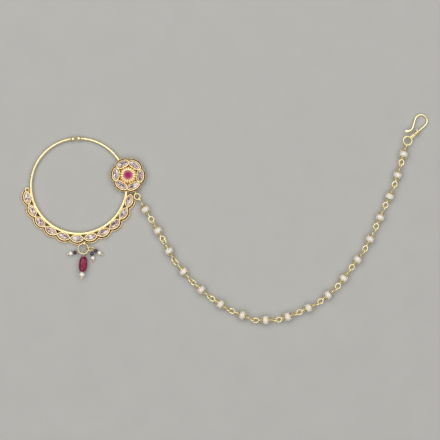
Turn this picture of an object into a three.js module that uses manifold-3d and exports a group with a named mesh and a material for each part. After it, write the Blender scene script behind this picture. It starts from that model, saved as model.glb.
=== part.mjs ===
import * as THREE from 'three';
import { mergeVertices } from 'three/addons/utils/BufferGeometryUtils.js';
import Module from 'manifold-3d';

const wasm = await Module();
wasm.setup();

// A nath: a nose hoop with a stone-set crescent and flower, small drops, and a chain of
// crystal beads that ends in a hook. It lies flat. Lengths are in millimetres and angles in
// degrees, counter-clockwise from +X. The hoop's centre is the middle of the drawing.

// Air between pieces
const linkGap = 0.24;
const beadGap = 0.06;
const stoneGap = 0.15;
const boreGap = 0.12;

// How far soldered metal runs into what it stands on
const solderDepth = 0.1;

// Hoop wire, thickest behind the crescent
const hoopInnerRadius = 20.8;
const seatWireRadius = 0.75;
const tipWireRadius = 0.55;
const tipBallRadius = 1.1;
const tipGap = 0.4;
const tipAngle = 93.5;
const tipCollarRadius = 0.85;
const tipCollarLength = 0.7;
const tipCollarOffset = 1.375;

// Crescent of navettes on a back plate, outside the wire
const navetteCount = 11;
const crescentStart = 185.5;
const crescentEnd = 351;
const navetteWidth = 3.6;
const bezelLap = 0.4;
const tipLap = 0.16;
const backPlateThickness = 0.9;
const bezelWall = 0.3;
const bezelHeight = 1.35;
const pierceWidth = 1.8;
const pierceDepth = 1.25;
const pierceLap = 0.2;
const grooveWidth = 0.35;
const edgeBeadRadius = 0.3;
const edgeBeadsPerNavette = 6;
const edgeNotch = 0.18;
const edgeRise = 0.35;
const edgeDepth = 0.6;
const endLoopRadius = 0.95;
const endLoopWire = 0.4;
const endLoopInset = 0.4;

// Cut of the stones
const stoneGirdle = 0.35;
const stoneCrown = 0.5;
const stoneTableInset = 0.55;

// Flower, over the wire past the crescent's right end
const flowerAngle = 12.3;
const flowerOffset = 1.25;
const petalCount = 6;
const petalTurn = -4;
const petalRingRadius = 5.55;
const petalWidth = 3.5;
const petalLap = 2;
const petalSquareness = 2.8;
const petalWall = 0.4;
const petalHeight = 1.5;
const tierStep = 0.7;
const tierThickness = 0.8;
const tierLipWidth = 0.32;
const tierLipHeight = 0.35;
const flowerBackHeight = 1.35;
const chevronWidth = 1;
const chevronDepth = 0.95;
const chevronOffset = 0.1;
const colletRibs = 18;
const colletRibReach = 3.85;
const colletRibNotch = 0.45;
const colletRibHeight = 1;
const rubyRadius = 1.95;
const rubyCup = 0.35;
const rubyCupHeight = 2.2;
const rubyCrown = 0.65;
const rubyTableInset = 0.7;

// Eye on the flower's edge and the ring that carries the chain
const chainEye = { radius: 1, wire: 0.28 };
const chainRing = { radius: 1.35, wire: 0.3 };
const solderLap = 0.35;
const chainEyeAngle = -67;
const chainLeadAngle = -60;

// Bead links
const crystalRadius = 2;
const crystalLength = 3.6;
const capRadius = 1.35;
const pinLoop = { radius: 1.13, wire: 0.31 };
const firstLinkRoll = 80;
const lastLinkRoll = 14;
const rollFade = 3;
const rollSwing = 3;
const rollStep = 2.1;

// Where the chain lies: the joints between links, from the first one
const chainRoute = [
  [0, 0], [6.15, -10.2], [11.3, -18.9], [16.5, -28.4], [24.2, -37.4], [32.6, -44.8], [41.4, -50.6],
  [52.1, -55], [62.5, -54.6], [71.8, -51.4], [81.4, -46.8], [89.5, -40.2], [95.7, -31.7],
  [102, -23.4], [107, -13.5], [111.2, -3.9], [115.5, 5.5], [118.5, 15.3], [120.9, 24.5],
];

// Hook of bent wire, with a long narrow eye and a wrapped neck
const hookRing = { radius: 1.93, wire: 0.33 };
const hookWire = 0.42;
const hookHeading = 41;
const hookEyeRadius = 1.05;
const hookEyeLength = 4.6;
const hookEyeRoll = 70;
const hookNeckRadius = 1.25;
const hookNeckLength = 1.4;
const hookShank = 5.6;
const hookBowRadius = 2.75;
const hookBowTurn = 212;
const hookReturn = 4;
const hookFlareRadius = 2.2;
const hookFlareTurn = -62;
const hookTipRun = 1.9;
const hookTipWidth = 0.75;

// Drops under the crescent
const bailJunction = 6;
const bail = { radius: 1.05, wire: 0.3 };
const bailBallRadius = 0.85;
const bailBallOffset = 0.15;
const dropHeight = 1.6;
const dropRing = { radius: 2.3, wire: 0.26 };
const dropRingHeading = 258;
const sideRing = { radius: 1.15, wire: 0.22 };
const sideRingHeading = 0;
const sideRingLean = -54;
const rubyBeadLength = 6.9;
const rubyBeadRadius = 1.95;
const rubyBeadSquareness = 1.7;
const rubyDropEye = { radius: 0.86, wire: 0.24 };
const rubyDropPearlRadius = 1.15;
const smallEye = { radius: 0.8, wire: 0.17 };
const garnetRadius = 0.9;
const pearlRadius = 0.95;
const endBallRadius = 0.48;

// Where each drop hangs on its ring, and which way it points
const rubyDropHang = { at: 281, heading: 264 };
const leftDropHang = { at: 214, heading: 193 };
const rightDropHang = { at: 5, heading: -30 };
const lowerDropHang = { at: -48, heading: -78 };

// Fineness of the round forms
const wireSides = 8;
const hoopSteps = 46;
const navetteSteps = 5;
const petalSteps = 12;
const rubySides = 12;
const thinWireSides = 5;
const ringSides = 10;
const beadSides = 10;

const seatRingRadius = hoopInnerRadius + seatWireRadius;
const hoopHeight = tipBallRadius;
const crescentRadius = hoopInnerRadius + 2 * seatWireRadius + navetteWidth / 2 - bezelLap;
const navettePitch = (crescentEnd - crescentStart) / navetteCount;
const navetteLength = 2 * crescentRadius * Math.tan(rad(navettePitch / 2)) + tipLap;
const bezelTop = backPlateThickness + bezelHeight;
const flowerCentre = polar(seatRingRadius + flowerOffset, flowerAngle);
const tierTop = flowerBackHeight + tierThickness;
const rubySeat = tierTop + rubyCupHeight - rubyCrown - stoneGirdle;
const chainHeight = crystalRadius;

function rad(degrees) {
  return THREE.MathUtils.degToRad(degrees);
}

function polar(radius, degrees, height = 0) {
  return new THREE.Vector3(
    radius * Math.cos(rad(degrees)), radius * Math.sin(rad(degrees)), height);
}

// A closed geometry as a solid that can be joined and cut.
function solidOf(geometry) {
  const bare = geometry.clone();
  bare.deleteAttribute('normal');
  bare.deleteAttribute('uv');
  const merged = mergeVertices(bare);
  const corners = merged.index.array;
  const faces = [];
  for (let i = 0; i < corners.length; i += 3) {
    const [a, b, c] = [corners[i], corners[i + 1], corners[i + 2]];
    if (a !== b && b !== c && c !== a) faces.push(a, b, c);
  }
  return new wasm.Manifold(new wasm.Mesh({
    numProp: 3,
    vertProperties: merged.attributes.position.array,
    triVerts: new Uint32Array(faces),
  }));
}

function geometryOf(solid) {
  const mesh = solid.getMesh();
  const geometry = new THREE.BufferGeometry();
  geometry.setAttribute('position', new THREE.BufferAttribute(mesh.vertProperties, 3));
  geometry.setIndex(new THREE.BufferAttribute(mesh.triVerts, 1));
  geometry.computeVertexNormals();
  return geometry;
}

function joined(geometries) {
  return geometries.map(solidOf).reduce((whole, piece) => whole.add(piece));
}

function cut(solid, geometries) {
  return geometries.map(solidOf).reduce((whole, tool) => whole.subtract(tool), solid);
}

// A geometry turned about X, then Y, then Z, and moved.
function placed(geometry, at, heading = 0, pitch = 0, roll = 0) {
  const turned = new THREE.Euler(rad(roll), rad(pitch), rad(heading), 'ZYX');
  const matrix = new THREE.Matrix4().makeRotationFromEuler(turned).setPosition(at);
  return geometry.applyMatrix4(matrix);
}

// A level arc about the vertical axis.
class LevelArc extends THREE.Curve {
  constructor(radius, from, to) {
    super();
    this.radius = radius;
    this.from = from;
    this.to = to;
  }

  getPoint(t, target = new THREE.Vector3()) {
    return target.copy(polar(this.radius, THREE.MathUtils.lerp(this.from, this.to, t)));
  }
}

function circle(radius, sides) {
  const shape = new THREE.Shape();
  for (let i = 0; i < sides; i++) {
    const p = polar(radius, 360 * (i + 0.5) / sides);
    if (i === 0) shape.moveTo(p.x, p.y);
    else shape.lineTo(p.x, p.y);
  }
  return shape;
}

function wireAlong(path, radius, sides, steps) {
  return new THREE.ExtrudeGeometry(circle(radius, sides),
    { steps, extrudePath: path, bevelEnabled: false });
}

// Round wire along a level arc, its thickness and place told by the angle.
function shapedArcWire(arc, radius, sides, steps, shareAt, radiusAt) {
  const geometry = wireAlong(arc, radius, sides, steps);
  const points = geometry.attributes.position;
  const middle = THREE.MathUtils.lerp(arc.from, arc.to, 0.5);
  for (let i = 0; i < points.count; i++) {
    const point = new THREE.Vector3().fromBufferAttribute(points, i);
    const seen = THREE.MathUtils.radToDeg(Math.atan2(point.y, point.x));
    const angle = middle + THREE.MathUtils.euclideanModulo(seen - middle + 180, 360) - 180;
    const offset = point.sub(polar(arc.radius, angle)).multiplyScalar(shareAt(angle));
    offset.add(polar(radiusAt(angle), angle));
    points.setXYZ(i, offset.x, offset.y, offset.z);
  }
  return geometry;
}

function ring({ radius, wire }) {
  return new THREE.TorusGeometry(radius, wire, thinWireSides, ringSides);
}

function plate(shape, bottom, top) {
  return new THREE.ExtrudeGeometry(shape, { depth: top - bottom, bevelEnabled: false })
    .translate(0, 0, bottom);
}

function outline(points) {
  return new THREE.Shape(points.map((p) => new THREE.Vector2(p.x, p.y)));
}

// Distance between the centres of two linked rings that nearly touch.
function linkedPitch(a, b) {
  return a.radius + b.radius - a.wire - b.wire - linkGap;
}

// Hoop wire

function hoopThickness(angle) {
  const past = Math.max(crescentStart - angle, angle - crescentEnd, 0);
  const bare = (360 - crescentEnd + crescentStart) / 2;
  return THREE.MathUtils.lerp(seatWireRadius, tipWireRadius, Math.min(past / bare, 1));
}

function hoopWire() {
  const ballReach = THREE.MathUtils.radToDeg((tipBallRadius + tipGap / 2) / hoopInnerRadius);
  const from = tipAngle + ballReach;
  const to = tipAngle + 360 - ballReach;
  const arc = new LevelArc(seatRingRadius, from, to);
  const wire = shapedArcWire(arc, seatWireRadius, wireSides, hoopSteps,
    (angle) => hoopThickness(angle) / seatWireRadius,
    (angle) => hoopInnerRadius + hoopThickness(angle));
  const parts = [wire];
  const tipRingRadius = hoopInnerRadius + tipWireRadius;
  const collarReach = THREE.MathUtils.radToDeg(tipCollarOffset / tipRingRadius);
  for (const [angle, inward] of [[from, 1], [to, -1]]) {
    parts.push(new THREE.SphereGeometry(tipBallRadius, 10, 6)
      .translate(...polar(tipRingRadius, angle)));
    const collar = new THREE.CylinderGeometry(
      tipCollarRadius, tipCollarRadius, tipCollarLength, beadSides);
    const seat = angle + inward * collarReach;
    parts.push(placed(collar, polar(tipRingRadius, seat), seat));
  }
  return parts.map((part) => part.translate(0, 0, hoopHeight));
}

// Crescent

// The arc of a navette's outer side, about a centre of its own inside the crescent.
const navetteArcRadius = (navetteLength ** 2 + navetteWidth ** 2) / (4 * navetteWidth);
const navetteArcDrop = navetteArcRadius - navetteWidth / 2;

// Outline of two arcs that meet in points, grown outwards by an offset.
function navetteOutline(offset) {
  const radius = navetteArcRadius + offset;
  const half = THREE.MathUtils.radToDeg(Math.acos(navetteArcDrop / radius));
  const upper = [];
  for (let i = 0; i < navetteSteps; i++) {
    const point = polar(radius, 90 - half + 2 * half * i / navetteSteps);
    upper.push(new THREE.Vector2(point.x, point.y - navetteArcDrop));
  }
  return new THREE.Shape([...upper, ...upper.map((point) => point.clone().negate())]);
}

function navetteAngle(index) {
  return crescentStart + navettePitch * (index + 0.5);
}

// Radius at which the outer arcs of two neighbours, grown by an offset, cross.
function valleyRadius(offset) {
  const centre = crescentRadius - navetteArcDrop;
  const across = centre * Math.sin(rad(navettePitch / 2));
  const along = centre * Math.cos(rad(navettePitch / 2));
  return along + Math.sqrt((navetteArcRadius + offset) ** 2 - across ** 2);
}

// The crescent's scalloped outer side, navette by navette, with an offset for each step.
function scallops(offsetAt, steps) {
  const centre = crescentRadius - navetteArcDrop;
  const points = [];
  for (let i = 0; i < navetteCount; i++) {
    const middle = polar(centre, navetteAngle(i));
    const valley = polar(valleyRadius(offsetAt(0)), navettePitch / 2);
    const half = THREE.MathUtils.radToDeg(Math.atan2(valley.y, valley.x - centre));
    for (let k = i === 0 ? 0 : 1; k <= steps; k++) {
      const angle = navetteAngle(i) - half + 2 * half * k / steps;
      points.push(polar(navetteArcRadius + offsetAt(k), angle).add(middle));
    }
  }
  return points;
}

// Back plate from the wire to the scalloped edge, with an opening at each junction.
function backPlate() {
  const steps = 2 * navetteCount;
  const inner = [];
  for (let i = 0; i <= steps; i++) {
    inner.push(polar(seatRingRadius, THREE.MathUtils.lerp(crescentEnd, crescentStart, i / steps)));
  }
  const shape = outline([...scallops(() => grooveWidth + edgeBeadRadius, 4), ...inner]);
  const base = hoopInnerRadius + 2 * seatWireRadius;
  for (let i = 1; i < navetteCount; i++) {
    const angle = crescentStart + navettePitch * i;
    const half = THREE.MathUtils.radToDeg(pierceWidth / 2 / base);
    shape.holes.push(outline([
      polar(base - pierceLap, angle - half),
      polar(base + pierceDepth, angle),
      polar(base - pierceLap, angle + half),
    ]));
  }
  return plate(shape, 0, backPlateThickness);
}

// Raised edge round the plate, notched between its beads.
function beadedEdge() {
  const steps = 2 * edgeBeadsPerNavette;
  const full = grooveWidth + 2 * edgeBeadRadius;
  const outer = scallops((k) => (k % 2 ? full : full - edgeNotch), steps);
  const inner = scallops(() => grooveWidth, 4).reverse();
  return plate(outline([...outer, ...inner]), backPlateThickness - edgeDepth,
    backPlateThickness + edgeRise);
}

function navetteBezel(index) {
  const wall = navetteOutline(0);
  wall.holes.push(navetteOutline(-bezelWall));
  const angle = navetteAngle(index);
  return placed(plate(wall, backPlateThickness - solderDepth, bezelTop),
    polar(crescentRadius, angle), angle - 90);
}

function crescentSetting() {
  const parts = [backPlate(), beadedEdge()];
  for (let i = 0; i < navetteCount; i++) parts.push(navetteBezel(i));
  return parts;
}

function endLoop() {
  const loop = ring({ radius: endLoopRadius, wire: endLoopWire });
  const angle = crescentStart - THREE.MathUtils.radToDeg(endLoopRadius / 2 / crescentRadius);
  return loop.translate(...polar(crescentRadius - endLoopInset, angle, endLoopWire));
}

// Bail

const bailAngle = crescentStart + navettePitch * bailJunction;

const bailReach = valleyRadius(grooveWidth + edgeBeadRadius) + bail.radius + bail.wire - solderLap;

function bailLoop() {
  const loop = placed(ring(bail), polar(bailReach, bailAngle, dropHeight), bailAngle, 0, 90);
  const ballHeight = dropHeight + bail.radius + bail.wire / 2;
  const ball = new THREE.SphereGeometry(bailBallRadius, 8, 6)
    .translate(...polar(bailReach + bailBallOffset, bailAngle, ballHeight));
  return [loop, ball];
}

// Flower

const petalPitch = 360 / petalCount;
const petalSpan = petalPitch + petalLap;

// A petal's outline: an oval bent round the flower's centre, grown by an offset.
function petalOutline(offset) {
  const spread = petalSpan / 2 + THREE.MathUtils.radToDeg(offset / petalRingRadius);
  const width = petalWidth / 2 + offset;
  const power = 2 / petalSquareness;
  const points = [];
  for (let i = 0; i < petalSteps; i++) {
    const around = 2 * Math.PI * i / petalSteps;
    const along = Math.sign(Math.sin(around)) * Math.abs(Math.sin(around)) ** power;
    const across = Math.sign(Math.cos(around)) * Math.abs(Math.cos(around)) ** power;
    points.push(polar(petalRingRadius + width * across, spread * along));
  }
  return outline(points);
}

function petalAngle(index) {
  return petalTurn + petalPitch * index;
}

// Lobed outline of the whole flower.
function flowerOutline(offset) {
  const steps = petalCount * 5;
  const points = [];
  for (let i = 0; i < steps; i++) {
    const angle = petalTurn + 360 * (i + 0.5) / steps;
    const fromFirst = angle - petalTurn + petalPitch / 2;
    const fromPetal = THREE.MathUtils.euclideanModulo(fromFirst, petalPitch) - petalPitch / 2;
    const share = Math.abs(fromPetal) / (petalSpan / 2);
    const bulge = (1 - share ** petalSquareness) ** (1 / petalSquareness);
    points.push(polar(petalRingRadius + petalWidth / 2 * bulge + offset, angle));
  }
  return outline(points);
}

function colletOutline() {
  const points = [];
  for (let i = 0; i < colletRibs * 2; i++) {
    const reach = i % 2 ? colletRibReach : colletRibReach - colletRibNotch;
    points.push(polar(reach, 180 * i / colletRibs));
  }
  return outline(points);
}

function rubyCupParts() {
  const inner = rubyRadius + stoneGap;
  const rim = circle(inner + rubyCup, rubySides);
  rim.holes.push(circle(inner, rubySides));
  return [
    plate(circle(inner + rubyCup / 2, rubySides), tierTop - solderDepth, rubySeat - stoneGap),
    plate(rim, tierTop - solderDepth, tierTop + rubyCupHeight),
  ];
}

function flowerSetting() {
  const tier = plate(flowerOutline(tierStep), flowerBackHeight, tierTop);
  const lip = flowerOutline(tierStep);
  lip.holes.push(flowerOutline(tierStep - tierLipWidth));
  const ribs = plate(colletOutline(), tierTop - solderDepth, tierTop + colletRibHeight);
  const parts = [tier, plate(lip, tierTop - solderDepth, tierTop + tierLipHeight), ribs,
    ...rubyCupParts()];
  const openings = [];
  for (let i = 0; i < petalCount; i++) {
    const wall = petalOutline(0);
    wall.holes.push(petalOutline(-petalWall));
    parts.push(placed(plate(wall, tierTop - solderDepth, tierTop + petalHeight),
      polar(0, 0), petalAngle(i)));
    const middle = petalAngle(i + 0.5);
    const near = petalRingRadius - petalWidth / 2 + chevronOffset;
    const chevron = new THREE.Shape([
      new THREE.Vector2(near, -chevronWidth / 2),
      new THREE.Vector2(near + chevronDepth, 0),
      new THREE.Vector2(near, chevronWidth / 2),
    ]);
    openings.push(placed(plate(chevron, 0, tierTop + rubyCupHeight), polar(0, 0), middle));
  }
  return cut(joined(parts), openings).translate(flowerCentre.x, flowerCentre.y, 0);
}

const flowerEdge = petalRingRadius + petalWidth / 2 + tierStep;
const chainEyeCentre = polar(flowerEdge + chainEye.radius + chainEye.wire - solderLap,
  chainEyeAngle, chainHeight).add(flowerCentre);
const chainRingCentre = polar(linkedPitch(chainEye, chainRing), chainEyeAngle)
  .add(chainEyeCentre);

function noseHoop() {
  const eye = placed(ring(chainEye), chainEyeCentre, chainEyeAngle, 0, 90);
  const soldered = [...hoopWire(), endLoop(), ...bailLoop(), eye, ...crescentSetting()];
  return geometryOf(joined(soldered).add(flowerSetting()));
}

// Stones

// A cut stone with its girdle on the outline, a flat table above and a flat foil back.
function cutStone(shape, crown = stoneCrown, inset = stoneTableInset) {
  return new THREE.ExtrudeGeometry(shape, {
    depth: stoneGirdle,
    bevelThickness: crown,
    bevelSize: inset,
    bevelOffset: -inset,
    bevelSegments: 1,
  }).translate(0, 0, crown);
}

function navetteStone() {
  return cutStone(navetteOutline(-bezelWall - stoneGap));
}

function petalStone() {
  return cutStone(petalOutline(-petalWall - stoneGap));
}

function flowerRuby() {
  return cutStone(circle(rubyRadius, rubySides), rubyCrown, rubyTableInset);
}

// Chain

// Crystal bead along X, its caps tapering into the pin and the pin into a loop at each end.
function cappedBead(pinReach) {
  const halfBead = crystalLength / 2;
  const profile = [
    [0, -pinReach], [capRadius, -halfBead], [crystalRadius, -halfBead * 0.3],
    [crystalRadius, halfBead * 0.3], [capRadius, halfBead], [0, pinReach],
  ].map(([x, y]) => new THREE.Vector2(x, y));
  return new THREE.LatheGeometry(profile, beadSides).rotateZ(-Math.PI / 2);
}

function beadLink(loopReach, roll) {
  const start = ring(pinLoop).rotateX(rad(roll)).translate(-loopReach, 0, 0);
  const end = ring(pinLoop).rotateX(rad(roll + 90)).translate(loopReach, 0, 0);
  return geometryOf(joined([cappedBead(loopReach - pinLoop.radius + pinLoop.wire / 2), start, end]));
}

const route = chainRoute.map(([x, y]) => new THREE.Vector3(x, y, 0));
const loopPitch = linkedPitch(pinLoop, pinLoop);
const firstRun = route[1].clone().normalize();
const chainStart = polar(linkedPitch(chainRing, pinLoop), chainLeadAngle)
  .add(chainRingCentre).addScaledVector(firstRun, -loopPitch / 2);

function linkRoll(index) {
  const fade = Math.exp(-index / rollFade);
  return THREE.MathUtils.lerp(lastLinkRoll, firstLinkRoll, fade)
    + rollSwing * Math.sin(rollStep * index);
}

function beadChain(gold) {
  const chain = new THREE.Group();
  chain.position.copy(chainStart);
  for (let i = 0; i < route.length - 1; i++) {
    const run = route[i + 1].clone().sub(route[i]);
    const link = piece(`bead_link_${numbered(i)}`,
      beadLink(run.length() / 2 - loopPitch / 2, linkRoll(i)), gold);
    link.position.lerpVectors(route[i], route[i + 1], 0.5);
    link.rotation.z = Math.atan2(run.y, run.x);
    chain.add(link);
  }
  return chain;
}

// Hook

// Points along wire bent by straight runs and turns, in the level plane.
function bentPoints(bends, facing = 0) {
  const points = [new THREE.Vector3()];
  let heading = facing;
  for (const { run = 0, radius = 0, turned = 0 } of bends) {
    const steps = turned ? Math.ceil(Math.abs(turned) / 24) : 2;
    for (let i = 0; i < steps; i++) {
      const stepTurn = turned / steps;
      const chord = turned ? 2 * radius * Math.sin(rad(Math.abs(stepTurn)) / 2) : run / steps;
      heading += stepTurn / 2;
      points.push(points.at(-1).clone().add(polar(chord, heading)));
      heading += stepTurn / 2;
    }
  }
  return points;
}

function bentWire(bends, radius, steps, facing = 0) {
  const path = new THREE.CatmullRomCurve3(bentPoints(bends, facing));
  return wireAlong(path, radius, thinWireSides + 1, steps);
}

function hookBody() {
  const side = hookEyeLength - hookEyeRadius;
  const eye = bentWire([
    { run: side }, { radius: hookEyeRadius, turned: 180 }, { run: side },
  ], hookWire, 9, 180).translate(hookEyeLength, hookEyeRadius, 0)
    .rotateX(rad(hookEyeRoll));
  const neck = new THREE.CylinderGeometry(hookNeckRadius, hookNeckRadius / 2,
    hookNeckLength, beadSides).rotateZ(Math.PI / 2).translate(hookEyeLength, 0, 0);
  const bends = [
    { run: hookShank }, { radius: hookBowRadius, turned: hookBowTurn }, { run: hookReturn },
    { radius: hookFlareRadius, turned: hookFlareTurn }, { run: hookTipRun },
  ];
  const bow = bentWire(bends, hookWire, 17).translate(hookEyeLength, 0, 0);
  const tipPoint = bentPoints(bends).at(-1);
  const tip = new THREE.SphereGeometry(1, 8, 6)
    .scale(hookTipWidth * 1.5, hookTipWidth, hookWire * 0.9)
    .rotateZ(rad(hookBowTurn + hookFlareTurn)).translate(tipPoint.x + hookEyeLength, tipPoint.y, 0);
  return geometryOf(joined([eye, neck, bow, tip]));
}

// The hook leans down from its ring: the end of its eye and its bow touch what it lies on.
function hookEnd(gold) {
  const end = new THREE.Group();
  const lastRun = route.at(-1).clone().sub(route.at(-2)).normalize();
  const ringCentre = route.at(-1).clone().add(chainStart)
    .addScaledVector(lastRun, linkedPitch(pinLoop, hookRing) - loopPitch / 2);
  const eyeLift = hookEyeRadius * Math.sin(rad(hookEyeRoll));
  const pitch = Math.asin(eyeLift / (hookShank + hookBowRadius));
  const eyeHeight = hookEyeLength * Math.sin(pitch) + eyeLift + hookWire;
  const runHeading = Math.atan2(lastRun.y, lastRun.x);
  const gripHeight = eyeHeight - hookEyeRadius * Math.sin(pitch);
  const lean = Math.asin((chainHeight - gripHeight) / (2 * hookRing.radius));
  const jump = piece('hook_ring', ring(hookRing), gold);
  jump.position.copy(ringCentre).setZ((chainHeight + gripHeight) / 2);
  jump.rotation.set(0, lean, (runHeading + rad(hookHeading)) / 2, 'ZYX');
  const hook = piece('hook', hookBody(), gold);
  const inset = hookRing.radius - hookRing.wire - hookWire - linkGap;
  hook.position.copy(polar(inset, hookHeading)).add(ringCentre).setZ(eyeHeight);
  hook.rotation.set(0, pitch, rad(hookHeading), 'ZYX');
  end.add(jump, hook);
  return end;
}

// Drops

const dropRingCentre = polar(linkedPitch(bail, dropRing), dropRingHeading)
  .add(polar(bailReach, bailAngle, dropHeight));

const dropCarrier = {
  ...dropRing,
  frame: new THREE.Matrix4().setPosition(dropRingCentre),
};

// The small ring beside the drop ring, leaning about the line between them.
const sideCarrier = {
  ...sideRing,
  frame: new THREE.Matrix4()
    .makeRotationFromEuler(new THREE.Euler(rad(sideRingLean), 0, rad(sideRingHeading), 'ZYX'))
    .setPosition(polar(linkedPitch(dropRing, sideRing), sideRingHeading).add(dropRingCentre)),
};

// The frame of a drop hung on a ring: X down the pin, Z the eye's axis.
function hangingFrame(carrier, hang, eye, restAt, restRadius) {
  const wirePoint = polar(carrier.radius, hang.at).applyMatrix4(carrier.frame);
  const along = polar(1, hang.at + 90).transformDirection(carrier.frame);
  const play = eye.radius - eye.wire - carrier.wire - linkGap;
  const droop = Math.asin((wirePoint.z - restRadius) / restAt);
  const down = polar(Math.cos(droop), hang.heading, -Math.sin(droop));
  const axis = along.addScaledVector(down, -along.dot(down)).normalize();
  const side = new THREE.Vector3().crossVectors(axis, down);
  return new THREE.Matrix4().makeBasis(down, side, axis)
    .setPosition(wirePoint.addScaledVector(down, play));
}

// A pin along X: an eye at the origin, a shaft and an end ball.
function dropPin(eye, length, ballRadius) {
  const ballStart = length - Math.sqrt(ballRadius ** 2 - eye.wire ** 2);
  const profile = [
    [0, eye.radius - eye.wire / 2], [eye.wire, eye.radius + eye.wire * 1.5], [eye.wire, ballStart],
    [ballRadius, length - ballRadius * 0.2], [ballRadius * 0.75, length + ballRadius * 0.66],
    [0, length + ballRadius],
  ].map(([x, y]) => new THREE.Vector2(x, y));
  const shaft = new THREE.LatheGeometry(profile, thinWireSides + 1).rotateZ(-Math.PI / 2);
  return geometryOf(joined([ring(eye), shaft]));
}

// A bead along X, bored for its pin; squareness above one fills out its ends.
function boredBead(radius, length, bore, sides, steps, squareness = 1) {
  const mouth = Math.asin((bore / radius) ** squareness);
  const profile = [];
  for (let i = 0; i <= steps; i++) {
    const angle = mouth + (Math.PI - 2 * mouth) * i / steps;
    const out = Math.sin(angle) ** (1 / squareness);
    profile.push(new THREE.Vector2(radius * out, -length / 2 * Math.cos(angle)));
  }
  profile.push(profile[0].clone());
  return new THREE.LatheGeometry(profile, sides).rotateZ(-Math.PI / 2);
}

function smallDrop(side, carrier, hang, materials) {
  const bore = smallEye.wire + boreGap;
  const garnetAt = smallEye.radius + smallEye.wire + garnetRadius;
  const pearlAt = garnetAt + garnetRadius + pearlRadius + beadGap;
  const ballAt = pearlAt + pearlRadius + endBallRadius;
  const drop = new THREE.Group();
  drop.applyMatrix4(hangingFrame(carrier, hang, smallEye, pearlAt, pearlRadius + beadGap));
  const garnet = piece(`${side}_drop_garnet`,
    boredBead(garnetRadius, 2 * garnetRadius, bore, beadSides, 4), materials.garnet);
  const pearl = piece(`${side}_drop_pearl`,
    boredBead(pearlRadius, 2 * pearlRadius, bore, beadSides, 4), materials.pearl);
  garnet.position.x = garnetAt;
  pearl.position.x = pearlAt;
  drop.add(piece(`${side}_drop_pin`, dropPin(smallEye, ballAt, endBallRadius), materials.gold),
    garnet, pearl);
  return drop;
}

function rubyDrop(materials) {
  const bore = rubyDropEye.wire + boreGap;
  const rubyAt = rubyDropEye.radius + rubyDropEye.wire + rubyBeadLength / 2 + beadGap;
  const pearlAt = rubyAt + rubyBeadLength / 2 + rubyDropPearlRadius + beadGap;
  const ballAt = pearlAt + rubyDropPearlRadius + endBallRadius;
  const drop = new THREE.Group();
  drop.applyMatrix4(hangingFrame(dropCarrier, rubyDropHang, rubyDropEye, rubyAt, rubyBeadRadius));
  const bead = piece('ruby_drop_bead',
    boredBead(rubyBeadRadius, rubyBeadLength, bore, rubySides, 6, rubyBeadSquareness), materials.ruby);
  const pearl = piece('ruby_drop_pearl',
    boredBead(rubyDropPearlRadius, 2 * rubyDropPearlRadius, bore, beadSides, 4), materials.pearl);
  bead.position.x = rubyAt;
  pearl.position.x = pearlAt;
  drop.add(piece('ruby_drop_pin', dropPin(rubyDropEye, ballAt, endBallRadius), materials.gold),
    bead, pearl);
  return drop;
}

function leaningRing(name, carrier, material) {
  const mesh = piece(name, ring(carrier), material);
  mesh.applyMatrix4(carrier.frame);
  return mesh;
}

function dropCluster(materials) {
  const cluster = new THREE.Group();
  cluster.add(leaningRing('drop_ring', dropCarrier, materials.gold),
    leaningRing('side_drop_ring', sideCarrier, materials.gold),
    rubyDrop(materials),
    smallDrop('left', dropCarrier, leftDropHang, materials),
    smallDrop('right', sideCarrier, rightDropHang, materials),
    smallDrop('lower', sideCarrier, lowerDropHang, materials));
  return cluster;
}

// Assembly

function numbered(index) {
  return String(index + 1).padStart(2, '0');
}

function piece(name, geometry, material) {
  const mesh = new THREE.Mesh(geometry, material.clone());
  mesh.name = name;
  return mesh;
}

function material(color, roughness, metalness, flatShading = false) {
  return new THREE.MeshStandardMaterial({ color, roughness, metalness, flatShading });
}

function setStones(materials) {
  const stones = new THREE.Group();
  for (let i = 0; i < navetteCount; i++) {
    const stone = piece(`crescent_stone_${numbered(i)}`, navetteStone(), materials.polki);
    const angle = navetteAngle(i);
    stone.position.copy(polar(crescentRadius, angle, backPlateThickness + stoneGap));
    stone.rotation.z = rad(angle - 90);
    stones.add(stone);
  }
  for (let i = 0; i < petalCount; i++) {
    const stone = piece(`petal_stone_${i + 1}`, petalStone(), materials.polki);
    stone.position.copy(flowerCentre).setZ(tierTop + stoneGap);
    stone.rotation.z = rad(petalAngle(i));
    stones.add(stone);
  }
  const ruby = piece('flower_ruby', flowerRuby(), materials.ruby);
  ruby.position.copy(flowerCentre).setZ(rubySeat);
  stones.add(ruby);
  return stones;
}

const materials = {
  gold: material(0xd9a441, 0.25, 1),
  polki: material(0xd9cfd6, 0.12, 0, true),
  ruby: material(0xa3123f, 0.15, 0, true),
  garnet: material(0x2a0d24, 0.15, 0),
  pearl: material(0xf3ece2, 0.3, 0),
  crystal: material(0xe9dcd8, 0.15, 0),
};

const drawing = new THREE.Group();
const jump = piece('chain_ring', ring(chainRing), materials.gold);
jump.position.copy(chainRingCentre);
drawing.add(piece('nose_hoop', noseHoop(), materials.gold), setStones(materials), jump,
  beadChain(materials.crystal), hookEnd(materials.gold), dropCluster(materials));

// The part's origin is the middle of its box, on the surface that it lies on.
const box = new THREE.Box3().setFromObject(drawing, true);
const middle = box.getCenter(new THREE.Vector3());
drawing.position.set(-middle.x, -middle.y, -box.min.z);

const nath = new THREE.Group();
nath.add(drawing);

export default nath;
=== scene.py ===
import math
import random

import bmesh
import bpy
import numpy as np
from mathutils import Matrix, Vector
from mathutils.geometry import tessellate_polygon


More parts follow.
